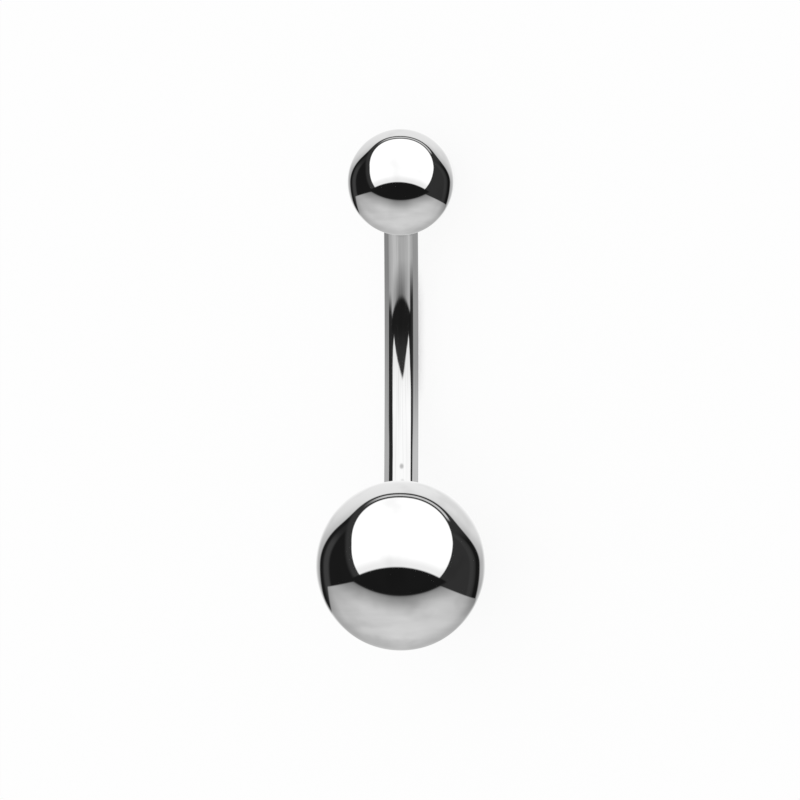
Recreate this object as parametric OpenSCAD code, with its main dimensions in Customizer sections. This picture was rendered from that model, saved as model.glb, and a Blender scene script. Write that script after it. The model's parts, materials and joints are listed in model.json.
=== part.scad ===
// Navel ring: a curved bar with a large fixed ball at one end and a small screw-off ball at the other.
// It lies as it rests by itself, on the undersides of the two balls and the bow of the bar.

/* [Bar] */
// Diameter of the bar (14 gauge)
bar_d = 1.6; // [1.5:0.1:2.4]
// Radius of the bend, at the bar's centre line
bend_r = 12; // [10:0.5:16]
// Angle that the bar turns through
bend_angle = 49; // [30:1:60]
// Straight stretch between each ball and the bend
straight_run = 1.2; // [0.8:0.1:3]
// Bevel that eases the bar's end edges
bar_ease = 0.06; // [0.02:0.01:0.1]

/* [Large ball] */
// Diameter of the large ball
large_d = 8; // [6:0.5:10]
// Depth of the hole that the bar is fixed in
large_grip = 2.4; // [1.5:0.1:3]

/* [Small ball] */
// Diameter of the small ball
small_d = 5; // [4:0.5:6]
// Depth of the seat that the bar's end turns up against
seat_depth = 0.25; // [0.15:0.05:0.4]

/* [Threaded post] */
// Diameter over the thread's crests
post_d = 1.2; // [1:0.05:1.3]
// Diameter at the thread's root
root_d = 0.94; // [0.8:0.02:0.98]
// Distance from one turn of the thread to the next
pitch = 0.3; // [0.2:0.05:0.4]
// Length of the threaded stretch
thread_length = 1.25; // [0.8:0.05:1.8]
// Length of the plain neck between the seat and the thread
neck_length = 0.25; // [0.15:0.05:0.4]
// Length of the plain shank that is held in the small ball
shank_length = 1.6; // [1:0.1:2]

/* [Fits] */
// Gap round a pressed piece
press_gap = 0.01; // [0.005:0.005:0.02]
// Gap round the thread and round the bar's end in its seat
turning_gap = 0.03; // [0.02:0.01:0.05]
// Gap between a bar end and the floor of its hole
floor_gap = 0.02; // [0.01:0.01:0.05]
// Bevel at the mouth of each hole
mouth_ease = 0.05; // [0.02:0.01:0.08]
// Room left beyond the post's tip
tip_room = 0.3; // [0.1:0.05:0.6]

/* [Hidden] */
$fn = 64;

bar_r = bar_d / 2;
large_r = large_d / 2;
small_r = small_d / 2;
half_bend = bend_angle / 2;

// The bend lies in a plane: u runs along its chord towards the small ball, v points out of the bow,
// and its centre of curvature is the zero of both.
bend_end = bend_r * [sin(half_bend), cos(half_bend)];
large_at = [-bend_end.x, bend_end.y] - (straight_run + large_r) * [cos(half_bend), sin(half_bend)];
small_at = bend_end + (straight_run + small_r) * [cos(half_bend), -sin(half_bend)];

// The line between the ball centres, and the centre of curvature measured along and across it
ball_span = norm(small_at - large_at);
along = (small_at - large_at) / ball_span;
across = [-along.y, along.x];
slant = atan2(along.y, along.x);
centre_u = -large_at * along;
centre_v = -large_at * across;

// At rest both balls touch z = 0, so the line between them dips by this angle.
dip = asin((large_r - small_r) / ball_span);

// The bow rolls down about that line until its underside touches too. Its height there is a
// quadratic in bow_drop, the share of the bow's reach that points straight down.
clear_height = large_r - bar_r - centre_u * sin(dip);
drop_a = pow(centre_v, 2) - pow(bend_r, 2);
drop_b = -2 * clear_height * centre_v;
drop_c = pow(clear_height, 2) - pow(bend_r * sin(dip), 2);
bow_drop = (-drop_b - sqrt(pow(drop_b, 2) - 4 * drop_a * drop_c)) / (2 * drop_a);
roll = asin(min(1, bow_drop / cos(dip)));

// The origin is at the middle of the base.
bow_side = max(large_r, cos(roll) * (centre_v + bend_r) + bar_r);
large_x = (large_r - small_r - ball_span * cos(dip)) / 2;
large_y = (large_r - bow_side) / 2;

// The straight ends are ground under the bend's radius by this much, and start this far inside it.
end_grind = 0.005;
end_overlap = 0.02;

// Hole sizes follow what goes in them.
bar_hole_r = bar_r + press_gap;
seat_r = bar_r + turning_gap;
post_r = post_d / 2;
root_r = root_d / 2;
shank_hole_r = post_r + press_gap;
tapped_r = post_r + turning_gap;
post_length = neck_length + thread_length + root_r;
seat_z = small_r - seat_depth;

// Thread facets: sides round the post, rings in one pitch and rings over the domed tip
thread_sides = 24;
rings_per_pitch = 8;
tip_rings = 5;
thread_turns = thread_length / pitch;
thread_rings = ceil(thread_turns * rings_per_pitch);

// Turns flat work in the plane of the bend into its place at rest.
module at_rest() {
    translate([large_x, large_y, large_r])
        rotate([0, dip, 0])
            rotate([-roll, 0, 0])
                rotate([0, 0, -slant])
                    translate([-large_at.x, -large_at.y, 0])
                        children();
}

// Puts work drawn along +Z at the large ball's centre, with +Z away from the bar.
module at_large_ball() {
    at_rest()
        translate([large_at.x, large_at.y, 0])
            rotate([0, -90, half_bend])
                children();
}

// Puts work drawn along +Z at the small ball's centre, with +Z away from the bar.
module at_small_ball() {
    at_rest()
        translate([small_at.x, small_at.y, 0])
            rotate([0, 90, -half_bend])
                children();
}

// A straight bar end: it starts just inside the bend, is ground a hair under it so that the two
// join cleanly, runs up to z = length and has an eased end edge.
module bar_end(length) {
    radius = bar_r - end_grind;
    translate([0, 0, -end_overlap])
        cylinder(h = end_overlap + length - bar_ease, r = radius);
    translate([0, 0, length - bar_ease])
        cylinder(h = bar_ease, r1 = radius, r2 = radius - bar_ease);
}

// A blind hole with a bevelled mouth: its mouth is at z = mouth and it goes down by depth.
module blind_hole(radius, depth, mouth) {
    translate([0, 0, mouth - depth])
        cylinder(h = depth + radius, r = radius);
    translate([0, 0, mouth - mouth_ease])
        cylinder(h = 2 * mouth_ease, r1 = radius, r2 = radius + 2 * mouth_ease);
}

// Height above a ball's centre at which a hole of this radius leaves the ball
function mouth_height(ball_r, hole_r) = sqrt(pow(ball_r, 2) - pow(hole_r, 2));

module bar() {
    large_end = straight_run + large_grip - floor_gap;
    small_end = straight_run + seat_depth - floor_gap;
    bore_depth = post_length - floor_gap + tip_room;
    color("silver")
        at_rest()
            difference() {
                union() {
                    rotate([0, 0, 90 - half_bend])
                        rotate_extrude(angle = bend_angle)
                            translate([bend_r, 0])
                                circle(bar_r);
                    translate([-bend_end.x, bend_end.y, 0])
                        rotate([0, -90, half_bend])
                            bar_end(large_end);
                    translate([bend_end.x, bend_end.y, 0])
                        rotate([0, 90, -half_bend])
                            bar_end(small_end);
                }
                translate([bend_end.x, bend_end.y, 0])
                    rotate([0, 90, -half_bend])
                        blind_hole(tapped_r, bore_depth, small_end);
            }
}

module bottom_ball() {
    color("gainsboro")
        at_large_ball()
            difference() {
                sphere(large_r);
                rotate([180, 0, 0])
                    drilled(large_r, bar_hole_r, large_r - large_grip);
            }
}

// The hole that a ball has for the bar: it goes down to z = floor_z.
module drilled(ball_r, hole_r, floor_z) {
    mouth = mouth_height(ball_r, hole_r);
    blind_hole(hole_r, mouth - floor_z, mouth);
}

module top_ball() {
    color("lightgray")
        at_small_ball()
            difference() {
                sphere(small_r);
                rotate([180, 0, 0]) {
                    drilled(small_r, seat_r, seat_z);
                    translate([0, 0, seat_z - shank_length - floor_gap])
                        cylinder(h = shank_length + seat_depth, r = shank_hole_r);
                }
            }
}

// How far the thread stands out at a height and an angle: rounded crests that fade in and out
function ridge(height, angle) =
    let (turns = height / pitch,
         fade = min(1, 2 * turns, 2 * (thread_turns - turns)),
         wave = (1 - cos(360 * turns - angle)) / 2)
    (post_r - root_r) * max(0, fade) * wave;

// Rings of the post as [height, radius, is threaded], from the shank's inner end to the tip
post_rings = concat(
    [[-shank_length, post_r - mouth_ease, false], [mouth_ease - shank_length, post_r, false]],
    [[neck_length - mouth_ease, post_r, false]],
    [for (i = [0 : thread_rings]) [neck_length + thread_length * i / thread_rings, root_r, true]],
    [for (i = [1 : tip_rings - 1])
        [neck_length + thread_length + root_r * sin(90 * i / tip_rings),
         root_r * cos(90 * i / tip_rings), false]]
);

// The post along +Z, with z = 0 at the floor of the seat
module post_solid() {
    count = len(post_rings);
    last = count * thread_sides;
    points = concat(
        [for (ring = post_rings, side = [0 : thread_sides - 1])
            let (angle = 360 * side / thread_sides,
                 radius = ring[1] + (ring[2] ? ridge(ring[0] - neck_length, angle) : 0))
            [radius * cos(angle), radius * sin(angle), ring[0]]],
        [[0, 0, post_length], [0, 0, -shank_length]]
    );
    walls = [for (i = [0 : count - 2], side = [0 : thread_sides - 1])
        let (next = (side + 1) % thread_sides,
             low = i * thread_sides,
             high = low + thread_sides)
        each [[low + side, high + side, high + next], [low + side, high + next, low + next]]];
    ends = [for (side = [0 : thread_sides - 1])
        let (next = (side + 1) % thread_sides,
             top = (count - 1) * thread_sides)
        each [[top + side, last, top + next], [side, next, last + 1]]];
    polyhedron(points, concat(walls, ends));
}

module threaded_post() {
    color("darkgray")
        at_small_ball()
            rotate([180, 0, 0])
                translate([0, 0, seat_z])
                    post_solid();
}

bar();
bottom_ball();
top_ball();
threaded_post();
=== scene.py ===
"""Dresses a navel ring: a curved bar with a large fixed ball and a small ball on a threaded post."""

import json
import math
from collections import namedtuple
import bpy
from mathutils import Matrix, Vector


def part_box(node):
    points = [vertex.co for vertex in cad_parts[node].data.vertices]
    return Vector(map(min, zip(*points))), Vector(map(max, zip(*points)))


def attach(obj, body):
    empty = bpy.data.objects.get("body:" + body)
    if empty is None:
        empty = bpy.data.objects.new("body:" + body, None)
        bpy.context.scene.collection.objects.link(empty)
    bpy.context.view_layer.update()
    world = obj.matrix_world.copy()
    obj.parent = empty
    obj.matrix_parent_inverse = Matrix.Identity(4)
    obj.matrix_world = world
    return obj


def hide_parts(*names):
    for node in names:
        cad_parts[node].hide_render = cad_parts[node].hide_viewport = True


bl_info = {
    "name": "Navel ring",
    "version": (1, 0, 0),
    "blender": (4, 5, 0),
    "location": "3D View > Sidebar > Navel ring",
    "description": "Makes a polished navel ring with its bar, balls and threaded post",
    "category": "Object",
}

import bpy
from bpy.props import FloatProperty, FloatVectorProperty, PointerProperty
from bpy.types import Operator, Panel, PropertyGroup
from mathutils import Vector

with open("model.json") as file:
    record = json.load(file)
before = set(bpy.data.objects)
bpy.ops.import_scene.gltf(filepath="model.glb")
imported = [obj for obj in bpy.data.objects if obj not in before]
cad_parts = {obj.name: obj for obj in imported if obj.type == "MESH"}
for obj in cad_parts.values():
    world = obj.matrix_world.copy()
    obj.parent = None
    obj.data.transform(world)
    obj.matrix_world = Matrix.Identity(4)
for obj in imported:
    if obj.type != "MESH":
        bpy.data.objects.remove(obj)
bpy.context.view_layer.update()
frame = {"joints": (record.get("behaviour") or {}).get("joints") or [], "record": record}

MM = 0.001
PIERCING = frame["record"]["mounts"][0]
UNSCREW = frame["joints"][0]

# How far a ball's centre may lie from the middle of its node's box before the sizes are wrong
FIT = 0.02 * MM

# Facets round each piece and along it, and round the domes that carry the studio's light. Edges
# that turn by more than the last angle stay sharp.
BAR_SIDES = 128
BEND_RINGS = 120
STRAIGHT_RINGS = 6
BALL_SIDES = 192
BALL_RINGS = 110
POST_SIDES = 96
RINGS_PER_PITCH = 20
DOME_RINGS = 16
EDGE_RINGS = 4
TENT_SIDES = 64
SHARP = math.radians(40)
# How narrow the thread's crests are
CREST = 1.3

# Close to its outline polished steel reflects less than a plain mirror does: this share of it at 82
# degrees from square on. The strength fits edge_loss to the shader's own formula.
EDGE_TINT = 0.60
EDGE_STRENGTH = 18

# Kept on each mesh for its finish: the piece's own coordinates in millimetres, so that there is no
# seam, and how far inside a hole a point lies, from 0 at the mouth to 1, which darkens the colour there
# as painted shade
LAY = "lay"
HOLE = "hole"

# The photograph that the camera follows: its side in pixels, and where the two balls lie in it
PHOTO_SIDE = 800
BALLS_X = 400.65
SMALL_BALL_Y = 182.2
LARGE_BALL_Y = 565.7

# The camera stands this far above the square-on view of the bend, this far to its side and this far
# away. Its sensor's width is in millimetres.
CAMERA_RISE = math.radians(3.2)
CAMERA_SIDE = math.radians(0.83)
CAMERA_AWAY = 0.5
SENSOR = 36

# Radii of the domes that carry the studio's light, one inside the other
BALL_TENT = 5.0
BAR_TENT = 6.0


def length(name, description, millimetres):
    """A size that a user would change."""
    return FloatProperty(
        name=name, description=description, default=millimetres * MM, min=0, precision=5, unit="LENGTH"
    )


def share(name, description, default, top=1.0):
    """A number without a unit that a user would change."""
    return FloatProperty(name=name, description=description, default=default, min=0, soft_max=top)


def grey(name, description, level):
    """A neutral colour that a user would change."""
    return FloatVectorProperty(
        name=name, description=description, default=(level, level, level), min=0, max=1, subtype="COLOR"
    )


class RingSizes(PropertyGroup):
    """Sizes of the ring's pieces"""

    bar_d: length("Bar", "Diameter of the bar, 14 gauge", 2 * PIERCING["dims"]["r_mm"])
    bend_r: length("Bend radius", "Radius of the bend at the bar's centre line", 12)
    straight_run: length("Straight run", "Straight stretch between each ball and the bend", 1.2)
    bar_ease: length("Bar edge", "Rounding of the bar's end edges", 0.06)
    large_d: length("Large ball", "Diameter of the large ball", 8)
    large_grip: length("Grip", "Depth of the large ball's hole", 2.4)
    small_d: length("Small ball", "Diameter of the small ball", 5)
    seat_depth: length("Seat", "Depth of the small ball's seat for the bar's end", 0.25)
    post_d: length("Thread crest", "Diameter over the thread's crests", 1.2)
    root_d: length("Thread root", "Diameter at the thread's root", 0.94)
    pitch: length("Pitch", "Distance from one turn of the thread to the next", 0.3)
    thread_length: length("Thread length", "Length of the threaded stretch", 1.25)
    neck_length: length("Neck", "Length of the plain neck", 0.25)
    shank_length: length("Shank", "Length of the shank that is held in the small ball", 1.6)
    press_gap: length("Press gap", "Gap round a pressed piece", 0.01)
    turning_gap: length("Turning gap", "Gap round the thread and the bar's end", 0.03)
    floor_gap: length("Floor gap", "Gap between a bar end and the floor of its hole", 0.02)
    mouth_ease: length("Mouth edge", "Rounding at the mouth of each hole", 0.05)
    tip_room: length("Tip room", "Room beyond the post's tip", 0.3)
    groove: length("Bore groove", "Depth of the thread cut into the bar's bore", 0.05)


class RingFinish(PropertyGroup):
    """Finish of the ring's steel"""

    bar_colour: grey("Bar colour", "Colour of the polished bar", 0.80)
    ball_colour: grey("Ball colour", "Colour of the polished balls", 0.82)
    thread_colour: grey("Thread colour", "Colour of the machined thread", 0.68)
    bar_roughness: share("Bar roughness", "Roughness of the polished bar", 0.05)
    ball_roughness: share("Ball roughness", "Roughness of the polished balls", 0.035)
    thread_roughness: share("Thread roughness", "Roughness of the machined thread", 0.16)


class RingStudio(PropertyGroup):
    """Light and floor round the ring"""

    softbox: share("Softbox", "Brightness of the softbox in front of the ring", 1.3, 3)
    surround: share("Surround", "Brightness of the pale tent behind the ring", 0.98, 3)
    table: share("Table", "Brightness of the table in front of the ring", 0.70, 3)
    flags: share("Flags", "Brightness of the dark flags at each side of the softbox", 0.012, 3)
    lens: share("Lens", "Brightness of the dark front below the softbox", 0.011, 3)
    walls: share("Walls", "Brightness of the grey walls that the bar's flanks reflect", 0.40, 3)
    floor_colour: grey("Floor colour", "Colour of the pale floor", 0.99)
    shadow: share("Shadow", "Depth of the soft shadow on the floor", 0.10)
    contact: share("Contact shadow", "Depth added to it where a piece touches the floor", 0.65)
    contact_reach: length("Contact reach", "Height up to which a piece deepens the shadow under it", 0.4)


class Wire:
    """A value in a shader that Python's operators work on, so that its maths reads as an expression."""

    def __init__(self, graph, socket):
        self.graph = graph
        self.socket = socket

    def pick(self, name):
        """Another output of the same node"""
        return Wire(self.graph, self.socket.node.outputs[name])

    def __add__(self, other):
        return self.graph.maths("ADD", self, other)

    def __sub__(self, other):
        return self.graph.maths("SUBTRACT", self, other)

    def __rsub__(self, other):
        return self.graph.maths("SUBTRACT", other, self)

    def __mul__(self, other):
        return self.graph.maths("MULTIPLY", self, other)

    def __truediv__(self, other):
        return self.graph.maths("DIVIDE", self, other)

    def __pow__(self, other):
        return self.graph.maths("POWER", self, other)

    __radd__ = __add__
    __rmul__ = __mul__


class Graph:
    """A node tree that is written as Python expressions."""

    def __init__(self, tree):
        self.tree = tree
        tree.nodes.clear()

    def node(self, kind, settings=None, sockets=None):
        """Adds a node: its settings come first, then the values or links of its sockets."""
        made = self.tree.nodes.new(kind)
        for name, value in (settings or {}).items():
            setattr(made, name, value)
        for key, value in (sockets or {}).items():
            if isinstance(value, Wire):
                self.tree.links.new(value.socket, made.inputs[key])
            else:
                made.inputs[key].default_value = value
        return Wire(self, made.outputs[0]) if made.outputs else made

    def maths(self, operation, *values):
        return self.node("ShaderNodeMath", {"operation": operation}, dict(enumerate(values)))

    def larger(self, first, second):
        return self.maths("MAXIMUM", first, second)

    def smaller(self, first, second):
        return self.maths("MINIMUM", first, second)

    def apart(self, first, second):
        return self.maths("ABSOLUTE", first - second)

    def dot(self, vector, other):
        dotted = self.node("ShaderNodeVectorMath", {"operation": "DOT_PRODUCT"}, {0: vector, 1: other})
        return dotted.pick("Value")

    def distance(self, vector, point):
        apart = self.node("ShaderNodeVectorMath", {"operation": "DISTANCE"}, {0: vector, 1: point})
        return apart.pick("Value")

    def stretched(self, vector, by):
        return self.node("ShaderNodeVectorMath", {"operation": "MULTIPLY"}, {0: vector, 1: by})

    def fade(self, value, start, end, low=0.0, high=1.0):
        """Goes smoothly from low to high as the value goes from start to end."""
        sockets = {"Value": value, 1: start, 2: end, 3: low, 4: high}
        return self.node("ShaderNodeMapRange", {"interpolation_type": "SMOOTHSTEP"}, sockets)

    def between(self, low, high, factor):
        """The value that lies between low and high by the factor"""
        return low + (high - low) * factor

    def tint(self, factor, first, second):
        """The colour that lies between two colours by the factor, or beyond them outside 0 to 1"""
        settings = {"data_type": "RGBA", "clamp_factor": False}
        mixed = self.node("ShaderNodeMix", settings, {0: factor, 6: first, 7: second})
        return Wire(self, mixed.socket.node.outputs[2])

    def noise(self, vector, scale, detail=2.0):
        return self.node("ShaderNodeTexNoise", None, {"Vector": vector, "Scale": scale, "Detail": detail})


# An oval's middle, then its reach to each side and upwards
Oval = namedtuple("Oval", "across up wide high")


class Layout:
    """Where the ring lies, from its sizes, the mount at the bow's middle and the small ball's way out."""

    def __init__(self, sizes):
        chord = Vector(PIERCING["axis"]).normalized()
        self.small_way = Vector(UNSCREW["axis"]).normalized()
        self.half_bend = chord.angle(self.small_way)
        out = (chord * math.cos(self.half_bend) - self.small_way) / math.sin(self.half_bend)
        self.chord = chord
        self.out = out.normalized()
        self.bend_r = sizes.bend_r
        self.centre = Vector(PIERCING["pos_m"]) - self.out * sizes.bend_r
        self.half_arc = sizes.bend_r * self.half_bend
        self.large_r = sizes.large_d / 2
        self.small_r = sizes.small_d / 2
        self.bar_r = sizes.bar_d / 2
        self.large_end = self.half_arc + sizes.straight_run + sizes.large_grip - sizes.floor_gap
        self.small_end = self.half_arc + sizes.straight_run + sizes.seat_depth - sizes.floor_gap
        self.large_at, self.large_way = self.along_bar(-self.half_arc - sizes.straight_run - self.large_r)
        self.small_at, _ = self.along_bar(self.half_arc + sizes.straight_run + self.small_r)
        self.post_length = sizes.neck_length + sizes.thread_length + sizes.root_d / 2
        self.seat = self.small_r - sizes.seat_depth

    def along_bar(self, distance):
        """The point on the bar's centre line at a distance from the bow's middle, and the way along it"""
        reach = max(-self.half_arc, min(self.half_arc, distance))
        angle = reach / self.bend_r
        outward = self.out * math.cos(angle) + self.chord * math.sin(angle)
        way = self.chord * math.cos(angle) - self.out * math.sin(angle)
        return self.centre + outward * self.bend_r + way * (distance - reach), way

    def on_bar(self, point):
        """Puts a point of the straightened bar, with +Z towards the small ball, on the bent one."""
        place, way = self.along_bar(point.z)
        side = self.chord.cross(self.out)
        outward = side.cross(way)
        return place - outward * point.x - side * point.y

    def on_axis(self, origin, way):
        """Puts a point on a straight axis through the origin, with +Z along the way."""
        side = self.chord.cross(self.out)
        outward = side.cross(way)
        return lambda point: origin - outward * point.x - side * point.y + way * point.z


def check_fit(node, centre):
    """Stops the script if a ball isn't where its node's box says."""
    low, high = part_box(node)
    if ((low + high) / 2 - centre).length > FIT:
        raise RuntimeError(f"the sizes put {node} at {centre}, and its box is round {(low + high) / 2}")


def eased(start, corner, end):
    """A rounded edge: (height, radius) points from start to end, drawn in towards the corner."""
    points = []
    for step in range(EDGE_RINGS + 1):
        t = step / EDGE_RINGS
        near, mid, far = (1 - t) ** 2, 2 * t * (1 - t), t**2
        points.append(tuple(near * a + mid * b + far * c for a, b, c in zip(start, corner, end)))
    return points


def spread(start, end, steps):
    """Values at even steps, both ends included"""
    return [start + (end - start) * step / steps for step in range(steps + 1)]


def turned(name, rings, sides, place, mouth=None):
    """A closed mesh of rings, each a height and a radius. A radius of 0 is one point, and a radius may
    depend on the angle. place puts each point of the piece's own axes in the frame. The rings after
    the one numbered mouth are in a hole."""
    points, starts, hole = [], [], []
    for number, (height, radius) in enumerate(rings):
        starts.append(len(points))
        around = 1 if radius == 0 else sides
        for side in range(around):
            angle = 2 * math.pi * side / sides
            reach = radius(angle) if callable(radius) else radius
            points.append(Vector((reach * math.cos(angle), reach * math.sin(angle), height)))
        inside = 0 if mouth is None else min(1, max(0, number - mouth) / EDGE_RINGS)
        hole += [inside] * around
    faces = []
    for low in range(len(rings) - 1):
        high = low + 1
        for side in range(sides):
            after = (side + 1) % sides
            corners = [starts[low] + side, starts[low] + after, starts[high] + after, starts[high] + side]
            if rings[low][1] == 0:
                corners = [starts[low]] + corners[2:]
            if rings[high][1] == 0:
                corners = corners[:2] + [starts[high]]
            faces.append(corners)
    mesh = bpy.data.meshes.new(name)
    mesh.from_pydata([place(point) for point in points], [], faces)
    lay = mesh.attributes.new(LAY, "FLOAT_VECTOR", "POINT")
    lay.data.foreach_set("vector", [value / MM for point in points for value in point])
    mesh.attributes.new(HOLE, "FLOAT", "POINT").data.foreach_set("value", hole)
    mesh.shade_smooth()
    mesh.set_sharp_from_angle(angle=SHARP)
    piece = bpy.data.objects.new(name, mesh)
    bpy.context.scene.collection.objects.link(piece)
    return piece


def thread(inner, outer, turns, all_turns):
    """A radius round the axis for a rounded right-hand thread that fades in and out at its ends"""
    height = (outer - inner) * max(0, min(1, 2 * turns, 2 * (all_turns - turns)))
    return lambda angle: inner + height * abs(math.sin(math.pi * turns - angle / 2)) ** CREST


def bar_rings(sizes, layout):
    """The bar's section: over its outside from the large ball's end to the small one's, then down the
    bore to its drilled point. The number of the ring at the bore's mouth comes with it."""
    radius, ease = layout.bar_r, sizes.bar_ease
    first, last = -layout.large_end, layout.small_end
    bore, mouth = sizes.post_d / 2 + sizes.turning_gap, sizes.mouth_ease
    depth = layout.post_length - sizes.floor_gap + sizes.tip_room
    rings = [(first, 0)]
    rings += eased((first, radius - ease), (first, radius), (first + ease, radius))
    rings += [(height, radius) for height in spread(first + ease, -layout.half_arc, STRAIGHT_RINGS)[1:]]
    rings += [(height, radius) for height in spread(-layout.half_arc, layout.half_arc, BEND_RINGS)[1:]]
    rings += [(height, radius) for height in spread(layout.half_arc, last - ease, STRAIGHT_RINGS)[1:-1]]
    rings += eased((last - ease, radius), (last, radius), (last, radius - ease))
    at_mouth = len(rings)
    rings += eased((last, bore + mouth), (last, bore), (last - mouth, bore))
    turns = (depth - mouth) / sizes.pitch
    steps = math.ceil(turns * RINGS_PER_PITCH)
    for step, height in enumerate(spread(last - mouth, last - depth, steps)[1:-1], 1):
        made = turns * (1 - step / steps)
        rings.append((height, thread(bore, bore + sizes.groove, made, turns)))
    rings += [(last - depth, bore), (last - depth - bore / 4, 0)]
    return rings, at_mouth


def ball_rings(sizes, ball_r, hole_r, floor):
    """A ball's section from its far pole over the outside, then down its hole, which is on the +Z side.
    The number of the ring at the hole's mouth comes with it."""
    ease = sizes.mouth_ease
    mouth = math.sqrt(ball_r**2 - hole_r**2)
    slope = hole_r + ease - mouth
    rim = (math.sqrt(2 * ball_r**2 - slope**2) - slope) / 2
    start = math.asin((slope + rim) / ball_r)
    rings = [(-ball_r, 0)]
    for angle in spread(math.pi, start, BALL_RINGS)[1:-1]:
        rings.append((ball_r * math.cos(angle), ball_r * math.sin(angle)))
    at_mouth = len(rings)
    rings += eased((rim, slope + rim), (mouth, hole_r), (mouth - ease, hole_r))
    rings += [(floor, hole_r)]
    return rings, at_mouth


def post_rings(sizes, layout):
    """The post's section from its end in the ball to its tip, with 0 at the floor of the seat."""
    crest, root, ease = sizes.post_d / 2, sizes.root_d / 2, sizes.mouth_ease
    foot, neck = -sizes.shank_length, sizes.neck_length
    rings = [(foot, 0)]
    rings += eased((foot, crest - ease), (foot, crest), (foot + ease, crest))
    rings += eased((neck - ease, crest), (neck, crest), (neck, root + ease))
    turns = sizes.thread_length / sizes.pitch
    steps = math.ceil(turns * RINGS_PER_PITCH)
    for step, height in enumerate(spread(neck, neck + sizes.thread_length, steps)[1:], 1):
        rings.append((height, thread(root, crest, turns * step / steps, turns)))
    for angle in spread(0, math.pi / 2, DOME_RINGS)[1:-1]:
        rings.append((neck + sizes.thread_length + root * math.sin(angle), root * math.cos(angle)))
    rings.append((layout.post_length, 0))
    return rings


# Shares of a finish's colour in its darker parts and deep in a hole, where the darkening is painted
# shade, and of its roughness where it is least and most worn
DARKER = 0.88
HOLE_PAINTED_SHADE = 0.22
WEAR = (0.7, 1.9)


def steel(name, colour, roughness, pattern):
    """A metal whose colour, roughness and relief follow a pattern of (shade, wear, relief, its depth)."""
    material = bpy.data.materials.new(name)
    material.use_nodes = True
    graph = Graph(material.node_tree)
    lay = graph.node("ShaderNodeAttribute", {"attribute_name": LAY}).pick("Vector")
    hole = graph.node("ShaderNodeAttribute", {"attribute_name": HOLE}).pick("Fac")
    shade, wear, relief, depth = pattern(graph, lay)
    plain = [*colour, 1]
    dark = [DARKER * channel for channel in colour] + [1]
    # Deep in a hole the colour is darkened: painted shade
    painted_hole_shade = [HOLE_PAINTED_SHADE * channel for channel in colour] + [1]
    bump = graph.node("ShaderNodeBump", None, {"Strength": 1.0, "Distance": depth, "Height": relief})
    shader = graph.node(
        "ShaderNodeBsdfPrincipled",
        None,
        {
            "Base Color": graph.tint(hole, graph.tint(shade, dark, plain), painted_hole_shade),
            "Metallic": 1.0,
            "Roughness": roughness * graph.between(*WEAR, wear),
            "Specular Tint": (EDGE_TINT, EDGE_TINT, EDGE_TINT, 1),
            "Normal": bump,
        },
    )
    graph.node("ShaderNodeOutputMaterial", None, {"Surface": shader})
    return material


# Two tiny dark spots painted into the bar's colour near the large ball, inside the bend: the place of
# each in millimetres on the straightened bar, and how much darker it is. The shape draws them out
# along the bar, and the edge is where they fade.
DARK_SPOT_SHAPE = Vector((1.0, 1.0, 0.7))
DARK_SPOT_EDGE = (0.14, 0.03)
BAR_DARK_SPOTS = ((Vector((0.8, 0.03, -5.66)), 4.0), (Vector((0.8, 0.075, -6.43)), 2.2))


def mirror_polish(graph, lay):
    """The buffed balls: faint clouds, and a few fine wipe marks in their roughness and relief"""
    clouds = graph.noise(lay, scale=0.7)
    wiped = graph.noise(graph.stretched(lay, (1.5, 9.0, 1.5)), scale=2.2, detail=4.0)
    shade = graph.fade(clouds, 0.25, 0.55)
    wear = graph.fade(wiped, 0.50, 0.80) * 0.7 + clouds * 0.3
    return shade, wear, clouds + wiped * 0.08, 0.0006 * MM


def hairline_polish(graph, lay):
    """The bar: fine hairlines that run along it, left by the polishing belt, and two tiny dark spots
    painted into its colour
    """
    fine = graph.noise(graph.stretched(lay, (9.0, 9.0, 0.12)), scale=2.0, detail=3.0)
    broad = graph.noise(graph.stretched(lay, (2.5, 2.5, 0.05)), scale=1.6)
    shade = graph.fade(fine, 0.30, 0.56)
    for spot, darkening in BAR_DARK_SPOTS:
        away = graph.distance(graph.stretched(lay, DARK_SPOT_SHAPE), spot * DARK_SPOT_SHAPE)
        shade = shade - graph.fade(away, *DARK_SPOT_EDGE) * darkening
    wear = graph.fade(fine, 0.46, 0.70) * 0.6 + graph.fade(broad, 0.45, 0.70) * 0.4
    return shade, wear, fine + broad * 0.5, 0.0012 * MM


def turning_marks(graph, lay):
    """The machined post: fine rings left by the lathe, and roots that the polish can't reach: they are
    rougher, and painted darker as shade
    """
    rings = graph.noise(graph.stretched(lay, (0.4, 0.4, 16.0)), scale=2.5, detail=3.0)
    across = graph.stretched(lay, (1.0, 1.0, 0.0))
    reach = graph.node("ShaderNodeVectorMath", {"operation": "LENGTH"}, {0: across}).pick("Value")
    crest = graph.fade(reach, 0.45, 0.60)
    # Painted shade: the thread's roots are darker than its crests
    shade = crest * 0.7 + rings * 0.3
    return shade, rings * 0.6 + (1 - crest) * 0.4, rings, 0.002 * MM


def dress(piece, body, node, material):
    """Gives a piece its finish, puts it on the body that it rides on and hides the node that it stands
    for.
    Only the studio is mirrored in the pieces, as in the photograph, so they aren't seen in one another."""
    piece.data.materials.append(material)
    piece.visible_glossy = False
    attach(piece, body)
    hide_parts(node)


class MakeBar(Operator):
    """Make the curved bar with its tapped end"""

    bl_idname = "navel_ring.make_bar"
    bl_label = "Bar"

    def execute(self, context):
        sizes, finish = context.scene.ring_sizes, context.scene.ring_finish
        layout = Layout(sizes)
        rings, mouth = bar_rings(sizes, layout)
        bar = turned("curved_bar", rings, BAR_SIDES, layout.on_bar, mouth)
        polish = steel("polished bar", finish.bar_colour, finish.bar_roughness, hairline_polish)
        dress(bar, "barbell", "bar", polish)
        return {"FINISHED"}


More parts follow.
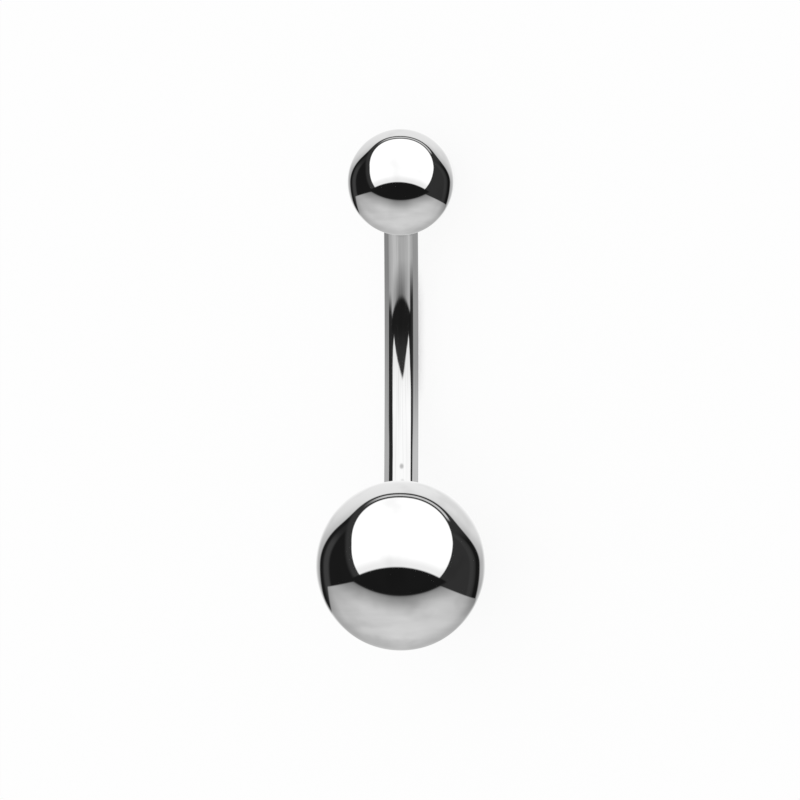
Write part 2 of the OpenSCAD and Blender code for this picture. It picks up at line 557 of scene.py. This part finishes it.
class MakeBalls(Operator):
    """Make the large fixed ball and the small screw-off ball"""

    bl_idname = "navel_ring.make_balls"
    bl_label = "Balls"

    def execute(self, context):
        sizes, finish = context.scene.ring_sizes, context.scene.ring_finish
        layout = Layout(sizes)
        polish = steel("polished balls", finish.ball_colour, finish.ball_roughness, mirror_polish)
        check_fit("bottom_ball", layout.large_at)
        floor = layout.large_r - sizes.large_grip
        rings, mouth = ball_rings(sizes, layout.large_r, layout.bar_r + sizes.press_gap, floor)
        rings.append((floor, 0))
        place = layout.on_axis(layout.large_at, layout.large_way)
        large = turned("large_ball", rings, BALL_SIDES, place, mouth)
        dress(large, "barbell", "bottom_ball", polish)
        check_fit("top_ball", layout.small_at)
        hole, ease = sizes.post_d / 2 + sizes.press_gap, sizes.mouth_ease / 2
        rings, mouth = ball_rings(sizes, layout.small_r, layout.bar_r + sizes.turning_gap, layout.seat)
        rings += eased((layout.seat, hole + ease), (layout.seat, hole), (layout.seat - ease, hole))
        end = layout.seat - sizes.shank_length - sizes.floor_gap
        rings += [(end, hole), (end, 0)]
        place = layout.on_axis(layout.small_at, -layout.small_way)
        small = turned("small_ball", rings, BALL_SIDES, place, mouth)
        dress(small, "screw_ball", "top_ball", polish)
        return {"FINISHED"}


class MakePost(Operator):
    """Make the threaded post that the small ball screws on with"""

    bl_idname = "navel_ring.make_post"
    bl_label = "Threaded post"

    def execute(self, context):
        sizes, finish = context.scene.ring_sizes, context.scene.ring_finish
        layout = Layout(sizes)
        seat = layout.small_at - layout.small_way * layout.seat
        place = layout.on_axis(seat, -layout.small_way)
        post = turned("screw_post", post_rings(sizes, layout), POST_SIDES, place)
        cut = steel("machined thread", finish.thread_colour, finish.thread_roughness, turning_marks)
        dress(post, "screw_ball", "threaded_post", cut)
        return {"FINISHED"}


# Half the width of a crisp edge between two tones
CRISP = 0.010
# Keeps the outermost directions off a division by zero
NUDGE = 0.00001
# The left and the right half of the studio differ, and blend across this strip.
HALVES = (-0.05, 0.05)

# The studio as a mirror ball shows it to the camera: across and up from the middle, 1 at the rim.
# A pair says where a tone starts and ends. Two more numbers are the tones there, otherwise 0 and 1.

# The pale tent, which darkens down its sides and a little more on the left
TENT_TILT = 0.12
TENT_TONES = (-0.15, 1.0, 0.66, 0.97)

# The softbox, which is dimmer near the lens
SOFTBOX = Oval(0.018, 0.262, 0.594, 0.541)
SOFTBOX_BELOW = 0.590
SOFTBOX_SQUARENESS = 2.15
SOFTBOX_LEAN = 0.045
SOFTBOX_TONES = (1.03, 1.15, 0.79, 1.0)

# Its dark frame, which is a little wider and joins the flags, and the frame's pale gap at the top
FRAME = 1.10
FRAME_JOINS = (0.22, 0.42)
GAP_INSIDE = (1.025, 1.040)
GAP_OUTSIDE = (1.075, 1.060)
GAP_ABOVE = (0.71, 0.77)
GAP_ARCH = 0.35
GAP_LEFT_END = (-0.46, -0.18)
GAP_TONE = 0.72

# The dark flags at both sides, and the shade that they cast on the tent beyond them
LEFT_FLAG = Oval(-0.010, 0.0, 0.940, 0.715)
RIGHT_FLAG_HIGH = 0.605
FLAGS_BELOW = 1.15
FLAG_SHADE = (1.12, 1.0, 0.0, 0.2)
FLAG_SHADE_BELOW = (0.85, 0.5)

# How many times as bright their parts are: a stripe along each one, the left one's inner edge, and
# the right one with its rim. High up the left stripe is weak, and the right rim isn't seen.
LEFT_STRIPE = 0.920
LEFT_STRIPE_SIDES = (0.052, 0.015)
LEFT_STRIPE_UP = (0.42, 0.24, 0.25, 1.0)
LEFT_STRIPE_TONE = 4.6
RIGHT_STRIPE = 0.898
RIGHT_STRIPE_SIDES = (0.035, 0.010)
RIGHT_STRIPE_TONE = 3.7
LEFT_INNER = (1.16, 1.08)
LEFT_INNER_TONE = 3.4
RIGHT_TONE = 2.9
RIGHT_RIM = (0.93, 0.96)
RIGHT_RIM_UP = (0.42, 0.26)
RIGHT_RIM_TONE = 0.8

# The dark front of the lens lies where two arcs overlap.
LENS_TOP = Oval(-0.050, -1.063, 1.053, 1.053)
LENS_BOTTOM = Oval(-0.002, 0.652, 1.000, 1.000)

# The table's two slanted far edges: how much each rises to the right, and how far it passes below
# the middle. Then the table's reach to each side.
TABLE_EDGES = ((0.241, 0.054), (-0.430, 0.035))
TABLE_LEFT = Oval(0.0, 0.0, 0.868, 1.40)
TABLE_RIGHT = Oval(0.0, 0.0, 0.925, 1.25)

# The table's tones: beyond the lens, right at its edge, below its middle, at the table's sides, in
# a glow, at the rim, and in faint streaks that run across
BEYOND_LENS = (1.0, 1.22, 0.50, 1.0)
LENS_EDGE = (1.05, 1.0, 0.0, 0.12)
BELOW_LENS = (-0.62, -0.48, 0.0, 0.10)
BELOW_LENS_SIDES = (0.28, 0.08)
TABLE_SIDES = (0.35, 0.85, 0.0, 0.34)
TABLE_SIDES_UP = (-0.75, -0.25)
TABLE_GLOW = Oval(0.05, -0.77, 0.35, 0.24)
TABLE_GLOW_TONES = (1.0, 0.3, 0.0, 0.09)
TABLE_RIM = (0.84, 0.98)
TABLE_RIM_DEPTH = 0.16
TABLE_RIM_ASIDE = 0.22
STREAK_GRAIN = (2.2, 11.0)
STREAK_DEPTH = 0.22

# Straight behind the ring all is white. This says how far out that starts, from low to high.
WHITE_FROM = (-0.97, -0.55, 0.997, 0.966)

# The same studio as the bar shows it: across the bar, and up by the slope of its curve

# The table: its tone, its darker sides round their middle, and the shade of the lens on it
BAR_TABLE_TONE = 0.90
BAR_TABLE_SIDES = (0.45, 0.75, 0.0, 0.24)
BAR_TABLE_MIDDLE = 0.03
BAR_SHADE = (-0.62, -0.25, 0.0, 0.74)
BAR_SHADE_MIDDLE = (-0.52, -0.33, 0.09, -0.04)
BAR_SHADE_WIDE = (-0.52, -0.38, 0.40, 0.63)
BAR_SHADE_CORE = 0.05

# The flags: where they start up the bar and across it, and how much they widen further up
BAR_FLAG_TONE = 2.2
BAR_LEFT_FLAG_UP = (-0.36, -0.255)
BAR_LEFT_FLAG = (-0.53, -0.62)
BAR_RIGHT_FLAG_UP = (-0.54, -0.30)
BAR_RIGHT_FLAG = (0.47, 0.54)
BAR_FLAGS_WIDEN = (-0.28, -0.18, 0.0, 0.15)

# The walls: where they start across the bar, how they lean further up, and their tones
LEFT_WALL = -0.740
RIGHT_WALL = 0.672
WALLS_LEAN = (0.15, 0.33)
LEFT_WALL_LEAN = 0.015
RIGHT_WALL_LEAN = 0.025
LEFT_WALL_TONES = (-0.45, 0.35, 0.72, 1.30)
RIGHT_WALL_TONES = (-0.10, 0.33, 0.92, 1.65)

# The lens is a dark spear: its rounded top, which drops faster near its sides, its end, its sides
# round their middle, and its tones
SPEAR_TOP = -0.338
SPEAR_ROUND = 0.22
SPEAR_SHOULDER = 0.20
SPEAR_END = (0.1, 0.0)
SPEAR_SIDES = (0.60, 0.54)
SPEAR_MIDDLE = -0.02
SPEAR_TONES = (-0.22, -0.07, 1.3, 3.6)

# The softbox, the tapering point that the spear cuts out of it, and its tones
BAR_BOX_LEFT = Oval(0.0, -0.01, 0.523, 1.05)
BAR_BOX_LEFT_BELOW = 0.31
BAR_BOX_RIGHT = Oval(0.0, 0.18, 0.555, 1.00)
BAR_BOX_RIGHT_BELOW = 0.54
SPEAR_POINT = 0.530
SPEAR_TAPER = 1.35
SPEAR_POINT_ACROSS = (-0.10, 0.0, -0.02, 0.05)
BAR_BOX_TONES = (-0.15, 0.15, 0.78, 0.93)


class Axes:
    """The camera's place and axes: up runs from the large ball to the small one, back to the camera."""

    def __init__(self, layout):
        line = layout.small_at - layout.large_at
        up = line.normalized()
        bow = (layout.out - up * layout.out.dot(up)).normalized()
        back = -bow * math.cos(CAMERA_RISE) + up * math.sin(CAMERA_RISE)
        right = (up - back * up.dot(back)).normalized().cross(back)
        self.back = (back * math.cos(CAMERA_SIDE) + right * math.sin(CAMERA_SIDE)).normalized()
        self.up = (up - self.back * up.dot(self.back)).normalized()
        self.right = self.up.cross(self.back)
        pixel = line.dot(self.up) / (LARGE_BALL_Y - SMALL_BALL_Y)
        self.field = pixel * PHOTO_SIDE
        rise = (LARGE_BALL_Y - PHOTO_SIDE / 2) * pixel
        aside = (PHOTO_SIDE / 2 - BALLS_X) * pixel
        target = layout.large_at + up * rise / up.dot(self.up) + self.right * aside
        self.place = target + self.back * CAMERA_AWAY


def mirror_ball(graph, way, axes):
    """Where a mirror ball shows a direction to the camera: across, up and out from its middle"""
    across, up, back = (graph.dot(way, axis) for axis in (axes.right, axes.up, axes.back))
    reach = ((back + 1) * 2 + NUDGE) ** 0.5
    return across / reach, up / reach, ((1 - back + NUDGE) / 2) ** 0.5


def ring_of(graph, x, y, oval, below=None, squareness=2.0):
    """How far out a place lies in an oval, where 1 is its edge. below is its reach downwards."""
    aside = graph.apart(x, oval.across) / oval.wide
    upright = graph.apart(y, oval.up) / oval.high
    if below is not None:
        above = y - oval.up
        upright = graph.larger(above, 0) / oval.high - graph.smaller(above, 0) / below
    return (aside**squareness + upright**squareness) ** (1 / squareness)


def flag_tone(graph, side, y, far, box):
    """The tones of the dark flags on the balls, from their own ring and the softbox's"""
    fade, between, apart = graph.fade, graph.between, graph.apart
    stripe = fade(apart(far, LEFT_STRIPE), *LEFT_STRIPE_SIDES) * fade(y, *LEFT_STRIPE_UP)
    left = between(between(1, LEFT_STRIPE_TONE, stripe), LEFT_INNER_TONE, fade(box, *LEFT_INNER))
    stripe = fade(apart(far, RIGHT_STRIPE), *RIGHT_STRIPE_SIDES)
    rim = fade(far, *RIGHT_RIM) * fade(y, *RIGHT_RIM_UP)
    right = between(between(RIGHT_TONE, RIGHT_STRIPE_TONE, stripe), RIGHT_RIM_TONE, rim)
    return between(left, right, side)


def table_tone(graph, x, y, whole, below_lens):
    """The tones of the table on the balls"""
    fade, aside = graph.fade, graph.apart(x, 0)
    tone = fade(below_lens, *BEYOND_LENS) - fade(below_lens, *LENS_EDGE)
    tone = tone - fade(aside, *BELOW_LENS_SIDES) * fade(y, *BELOW_LENS)
    tone = tone - fade(y, *TABLE_SIDES_UP) * fade(aside, *TABLE_SIDES)
    tone = tone + fade(ring_of(graph, x, y, TABLE_GLOW), *TABLE_GLOW_TONES)
    tone = tone - fade(whole, *TABLE_RIM) * (aside * TABLE_RIM_ASIDE + TABLE_RIM_DEPTH)
    across, up = STREAK_GRAIN
    grain = graph.node("ShaderNodeCombineXYZ", None, {0: x * across, 1: y * up})
    streaks = graph.noise(grain, scale=1.0, detail=3.0)
    return tone * (streaks * STREAK_DEPTH + (1 - STREAK_DEPTH / 2))


def ball_light(graph, studio, way, axes):
    """The brightness that the balls and the post reflect from each direction"""
    x, y, whole = mirror_ball(graph, way, axes)
    fade, between, larger = graph.fade, graph.between, graph.larger

    # How far out a place lies in each shape
    side = fade(x, *HALVES)
    above = y - SOFTBOX.up
    leaning = x + (larger(above, 0) - graph.smaller(above, 0)) * SOFTBOX_LEAN
    box = ring_of(graph, leaning, y, SOFTBOX, SOFTBOX_BELOW, SOFTBOX_SQUARENESS)
    flag_high = between(LEFT_FLAG.high, RIGHT_FLAG_HIGH, side)
    far = ring_of(graph, x, y, LEFT_FLAG._replace(high=flag_high), FLAGS_BELOW)
    above_lens = ring_of(graph, x, y, LENS_TOP)
    below_lens = ring_of(graph, x, y, LENS_BOTTOM)

    light = fade(y + x * TENT_TILT, *TENT_TONES) * studio.surround

    # The flags stand at both sides, and the softbox's frame joins them over its top.
    outer = graph.maths("SMOOTH_MIN", far, box / FRAME, between(*FRAME_JOINS, side))
    light = light * (1 - fade(outer, *FLAG_SHADE) * fade(y, *FLAG_SHADE_BELOW))
    flags = fade(outer, 1 + CRISP, 1 - CRISP)
    light = between(light, flag_tone(graph, side, y, far, box) * studio.flags, flags)

    # The pale gap makes two thin dark lines of the frame.
    gap = fade(box, *GAP_INSIDE) * fade(box, *GAP_OUTSIDE)
    gap = gap * fade(y + graph.apart(x, 0) * GAP_ARCH, *GAP_ABOVE) * fade(x, *GAP_LEFT_END)
    light = between(light, studio.surround * GAP_TONE, gap)
    shine = fade(above_lens, *SOFTBOX_TONES) * studio.softbox
    light = between(light, shine, fade(box, 1 + CRISP, 1 - CRISP))

    # The table lies below, and meets the flags along its two far edges.
    edge = larger(*(y - x * rise + drop for rise, drop in TABLE_EDGES))
    reach = between(ring_of(graph, x, y, TABLE_LEFT), ring_of(graph, x, y, TABLE_RIGHT), side)
    table = fade(edge, CRISP, -CRISP) * fade(below_lens, 1 - CRISP, 1 + CRISP)
    table = table * fade(reach, 1 + CRISP, 1 - CRISP)
    light = between(light, table_tone(graph, x, y, whole, below_lens) * studio.table, table)

    lens = fade(above_lens, 1 + CRISP, 1 - CRISP) * fade(below_lens, 1 + 2 * CRISP, 1 - 2 * CRISP)
    light = between(light, studio.lens, lens)
    return between(light, studio.surround, fade(whole, fade(y, *WHITE_FROM), 1.0))


def bar_light(graph, studio, way, axes):
    """The brightness that the bar reflects: it stands in the same tent, nearer to the lens"""
    x, y, _ = mirror_ball(graph, way, axes)
    fade, between, larger, apart = graph.fade, graph.between, graph.larger, graph.apart
    slope = y / larger(1 - x * x, NUDGE) ** 0.5
    side = fade(x, *HALVES)

    # The table, with the shade of the lens on it
    away = apart(x, fade(slope, *BAR_SHADE_MIDDLE))
    shade = fade(away, fade(slope, *BAR_SHADE_WIDE), BAR_SHADE_CORE) * fade(slope, *BAR_SHADE)
    sides = fade(apart(x, BAR_TABLE_MIDDLE), *BAR_TABLE_SIDES)
    light = studio.table * (BAR_TABLE_TONE - shade - sides)

    # The flags fade in where they meet the table.
    inward = fade(slope, *BAR_FLAGS_WIDEN)
    left = fade(slope, *BAR_LEFT_FLAG_UP) * fade(x - inward, *BAR_LEFT_FLAG)
    right = fade(slope, *BAR_RIGHT_FLAG_UP) * fade(x + inward, *BAR_RIGHT_FLAG)
    light = between(light, studio.flags * BAR_FLAG_TONE, left + right)

    # The grey walls stand beyond the flags, and are lighter towards the tent.
    lean = fade(slope, *WALLS_LEAN)
    left = fade(x - lean * LEFT_WALL_LEAN, LEFT_WALL + CRISP, LEFT_WALL - CRISP)
    light = between(light, studio.walls * fade(slope, *LEFT_WALL_TONES), left)
    right = fade(x + lean * RIGHT_WALL_LEAN, RIGHT_WALL - CRISP, RIGHT_WALL + 3 * CRISP)
    light = between(light, studio.walls * fade(slope, *RIGHT_WALL_TONES), right)

    drop = x * x * (x * x * SPEAR_SHOULDER + SPEAR_ROUND)
    spear = fade(slope - drop, SPEAR_TOP - CRISP, SPEAR_TOP + 2 * CRISP)
    spear = spear * fade(slope, *SPEAR_END) * fade(apart(x, SPEAR_MIDDLE), *SPEAR_SIDES)
    light = between(light, studio.lens * fade(slope, *SPEAR_TONES), spear)

    # The softbox runs down to a point at each side of the spear.
    left = ring_of(graph, x, slope, BAR_BOX_LEFT, BAR_BOX_LEFT_BELOW)
    right = ring_of(graph, x, slope, BAR_BOX_RIGHT, BAR_BOX_RIGHT_BELOW)
    box = fade(between(left, right, side), 1 + 2 * CRISP, 1 - 2 * CRISP)
    away = apart(x, fade(slope, *SPEAR_POINT_ACROSS))
    box = box * fade(slope + away**SPEAR_TAPER * SPEAR_POINT, -CRISP, 2 * CRISP)
    return between(light, studio.softbox * fade(slope, *BAR_BOX_TONES), box)


def edge_loss(graph, way, axes):
    """How much of a direction's light the steel's edge tint takes away from the camera's view"""
    facing = ((graph.dot(way, axes.back) + 1 + NUDGE) / 2) ** 0.5
    return 1 - facing * (1 - facing) ** 6 * (1 - EDGE_TINT) * EDGE_STRENGTH


def make_world():
    """A plain pale room, which lights the floor. What the steel reflects comes from the tents."""
    world = bpy.data.worlds.new("room")
    world.use_nodes = True
    bpy.context.scene.world = world
    graph = Graph(world.node_tree)
    mirrored = graph.node("ShaderNodeLightPath").pick("Is Glossy Ray")
    shader = graph.node("ShaderNodeBackground", None, {"Color": 1 - mirrored})
    graph.node("ShaderNodeOutputWorld", None, {"Surface": shader})


def make_tent(name, reach, light_of, pieces, studio, axes):
    """A large clear dome with the studio's light on it, which only some of the pieces reflect"""
    angles = spread(math.pi, 0, TENT_SIDES // 2)[1:-1]
    circle = [(reach * math.cos(angle), reach * math.sin(angle)) for angle in angles]
    tent = turned(name, [(-reach, 0), *circle, (reach, 0)], TENT_SIDES, lambda point: point)
    material = bpy.data.materials.new(name)
    material.use_nodes = True
    graph = Graph(material.node_tree)
    place = graph.node("ShaderNodeNewGeometry").pick("Position")
    way = graph.node("ShaderNodeVectorMath", {"operation": "NORMALIZE"}, {0: place})
    light = light_of(graph, studio, way, axes) / edge_loss(graph, way, axes)
    glow = graph.node("ShaderNodeEmission", None, {"Color": light})
    clear = graph.node("ShaderNodeBsdfTransparent")
    both = graph.node("ShaderNodeAddShader", None, {0: glow, 1: clear})
    graph.node("ShaderNodeOutputMaterial", None, {"Surface": both})
    material.cycles.emission_sampling = "NONE"
    tent.data.materials.append(material)
    tent.visible_camera = False
    tent.visible_diffuse = False
    tent.visible_shadow = False
    mirrored = bpy.data.collections.new(f"in {name}")
    for piece in pieces:
        mirrored.objects.link(bpy.data.objects[piece])
    tent.light_linking.receiver_collection = mirrored


def make_floor(studio):
    """A large pale floor under the ring, with a soft shadow that is deepest where the ring touches it"""
    sides, reach = 96, 0.6
    mesh = bpy.data.meshes.new("floor")
    corners = [(reach * math.cos(a), reach * math.sin(a), 0) for a in spread(0, 2 * math.pi, sides)[:-1]]
    mesh.from_pydata(corners, [], [list(range(sides))])
    floor = bpy.data.objects.new("floor", mesh)
    bpy.context.scene.collection.objects.link(floor)
    material = bpy.data.materials.new("pale floor")
    material.use_nodes = True
    graph = Graph(material.node_tree)
    pale = [*studio.floor_colour, 1]
    near = graph.node("ShaderNodeAmbientOcclusion", {"samples": 4}, {"Distance": studio.contact_reach})
    depth = (1 - near.pick("AO")) ** 2 * studio.contact + studio.shadow
    glow = graph.node("ShaderNodeEmission", None, {"Color": pale})
    matt = graph.node("ShaderNodeBsdfDiffuse", None, {"Color": pale})
    both = graph.node("ShaderNodeMixShader", None, {0: depth, 1: glow, 2: matt})
    graph.node("ShaderNodeOutputMaterial", None, {"Surface": both})
    mesh.materials.append(material)
    floor.visible_glossy = False
    floor.visible_shadow = False


def make_camera(axes):
    """A long lens square on to the inside of the bend, with the small ball at the top"""
    lens = bpy.data.cameras.new("camera")
    lens.sensor_width = SENSOR
    lens.lens = SENSOR * CAMERA_AWAY / axes.field
    lens.clip_start = 0.01
    lens.clip_end = 10
    camera = bpy.data.objects.new("camera", lens)
    bpy.context.scene.collection.objects.link(camera)
    turn = camera.matrix_world.copy()
    for column, axis in enumerate((axes.right, axes.up, axes.back, axes.place)):
        for row in range(3):
            turn[row][column] = axis[row]
    camera.matrix_world = turn
    bpy.context.scene.camera = camera


class MakeStage(Operator):
    """Make the camera, the studio light and the pale floor"""

    bl_idname = "navel_ring.make_stage"
    bl_label = "Stage"

    def execute(self, context):
        studio = context.scene.ring_studio
        axes = Axes(Layout(context.scene.ring_sizes))
        make_camera(axes)
        make_world()
        balls = ("large_ball", "small_ball", "screw_post")
        make_tent("ball_tent", BALL_TENT, ball_light, balls, studio, axes)
        make_tent("bar_tent", BAR_TENT, bar_light, ("curved_bar",), studio, axes)
        make_floor(studio)
        context.scene.view_settings.view_transform = "Standard"
        return {"FINISHED"}


class RingPanel(Panel):
    """Lists the ring's sizes, finish and studio, and the steps that make them"""

    bl_idname = "VIEW3D_PT_navel_ring"
    bl_label = "Navel ring"
    bl_space_type = "VIEW_3D"
    bl_region_type = "UI"
    bl_category = "Navel ring"

    def draw(self, context):
        for group in (context.scene.ring_sizes, context.scene.ring_finish, context.scene.ring_studio):
            box = self.layout.box()
            box.label(text=group.bl_rna.description)
            for name in group.__annotations__:
                box.prop(group, name)
        for operator in OPERATORS:
            self.layout.operator(operator.bl_idname)


OPERATORS = (MakeBar, MakeBalls, MakePost, MakeStage)
GROUPS = {"ring_sizes": RingSizes, "ring_finish": RingFinish, "ring_studio": RingStudio}


def register():
    for kind in (*GROUPS.values(), *OPERATORS, RingPanel):
        bpy.utils.register_class(kind)
    for name, group in GROUPS.items():
        setattr(bpy.types.Scene, name, PointerProperty(type=group))


def unregister():
    for name in GROUPS:
        delattr(bpy.types.Scene, name)
    for kind in (RingPanel, *OPERATORS[::-1], *GROUPS.values()):
        bpy.utils.unregister_class(kind)


def main():
    register()
    bpy.ops.navel_ring.make_bar()
    bpy.ops.navel_ring.make_balls()
    bpy.ops.navel_ring.make_post()
    bpy.ops.navel_ring.make_stage()


if __name__ == "__main__":
    main()
